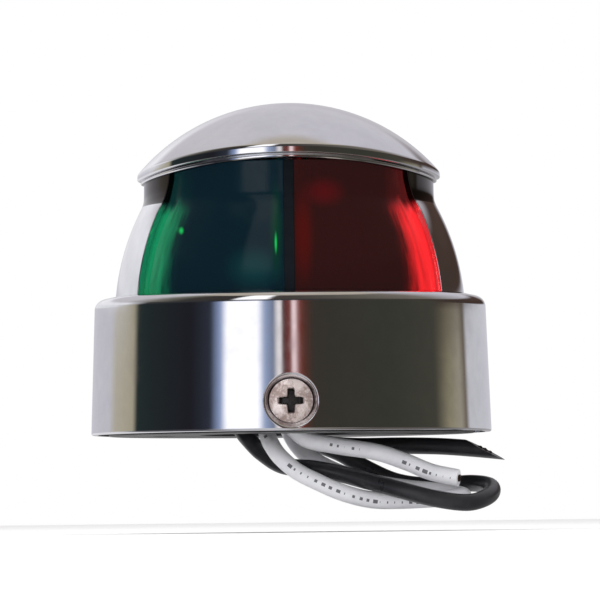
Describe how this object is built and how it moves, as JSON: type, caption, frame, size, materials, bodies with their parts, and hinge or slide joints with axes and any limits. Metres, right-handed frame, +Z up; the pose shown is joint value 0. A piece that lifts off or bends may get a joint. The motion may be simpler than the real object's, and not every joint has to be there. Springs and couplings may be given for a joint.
{
  "type": "navigation light",
  "caption": "Round two-colour bow navigation light with a domed polished cap, green and red windows, a drop-over skirt ring held by a front screw, and loose supply leads.",
  "frame": {"origin": "middle of the mounting face, the underside of the base gasket", "axes": "+Z up through the cap, -Y dead ahead (the side with the front screw and the seam between the lenses), +X the red side"},
  "size_m": [0.0734, 0.07, 0.0718],
  "materials": {
    "chrome": "polished",
    "green_lens": "clear moulded",
    "red_lens": "clear moulded",
    "black_plastic": "moulded",
    "rubber": "matt",
    "phenolic": "insulating board",
    "brass": "stamped",
    "steel": "bright",
    "lamp_glass": "clear",
    "filament": "drawn wire",
    "white_insulation": "extruded",
    "black_insulation": "extruded",
    "copper": "bare strands"
  },
  "bodies": {
    "base": {"base_plate": "black_plastic", "base_gasket": "rubber", "wire_grommet": "rubber", "lamp_post": "phenolic", "lower_contact": "brass", "upper_contact": "brass", "contact_rivets": "steel", "wire_terminals": "brass", "lamp_glass": "lamp_glass", "lamp_caps": "steel", "lamp_filament": "filament", "white_lead": "white_insulation", "black_lead": "black_insulation", "white_lead_core": "copper", "black_lead_core": "copper"},
    "cover": {"hood": "chrome", "skirt_ring": "chrome", "green_lens": "green_lens", "red_lens": "red_lens", "lens_divider": "black_plastic", "lens_seal": "rubber", "lens_retainer": "steel", "retainer_screws": "steel"},
    "front_screw": {"retaining_screw": "steel"},
    "nut": {"clamp_nut": "steel"}
  },
  "joints": [
    {"name": "cover_lift", "type": "slide", "parent": "base", "child": "cover", "axis": [0, 0, 1], "range_m": [0, 0.06]},
    {"name": "front_screw_turn", "type": "hinge", "parent": "cover", "child": "front_screw", "pos_m": [0, -0.03, 0.0052], "axis": [0, -1, 0], "range_deg": [0, 1080]},
    {"name": "nut_travel", "type": "slide", "parent": "cover", "child": "nut", "axis": [0, 1, 0], "range_m": [0, 0.0021]}
  ],
  "couplings": [
    {"joint": "front_screw_turn", "follows": "nut_travel", "rad_per_m": 8976}
  ]
}
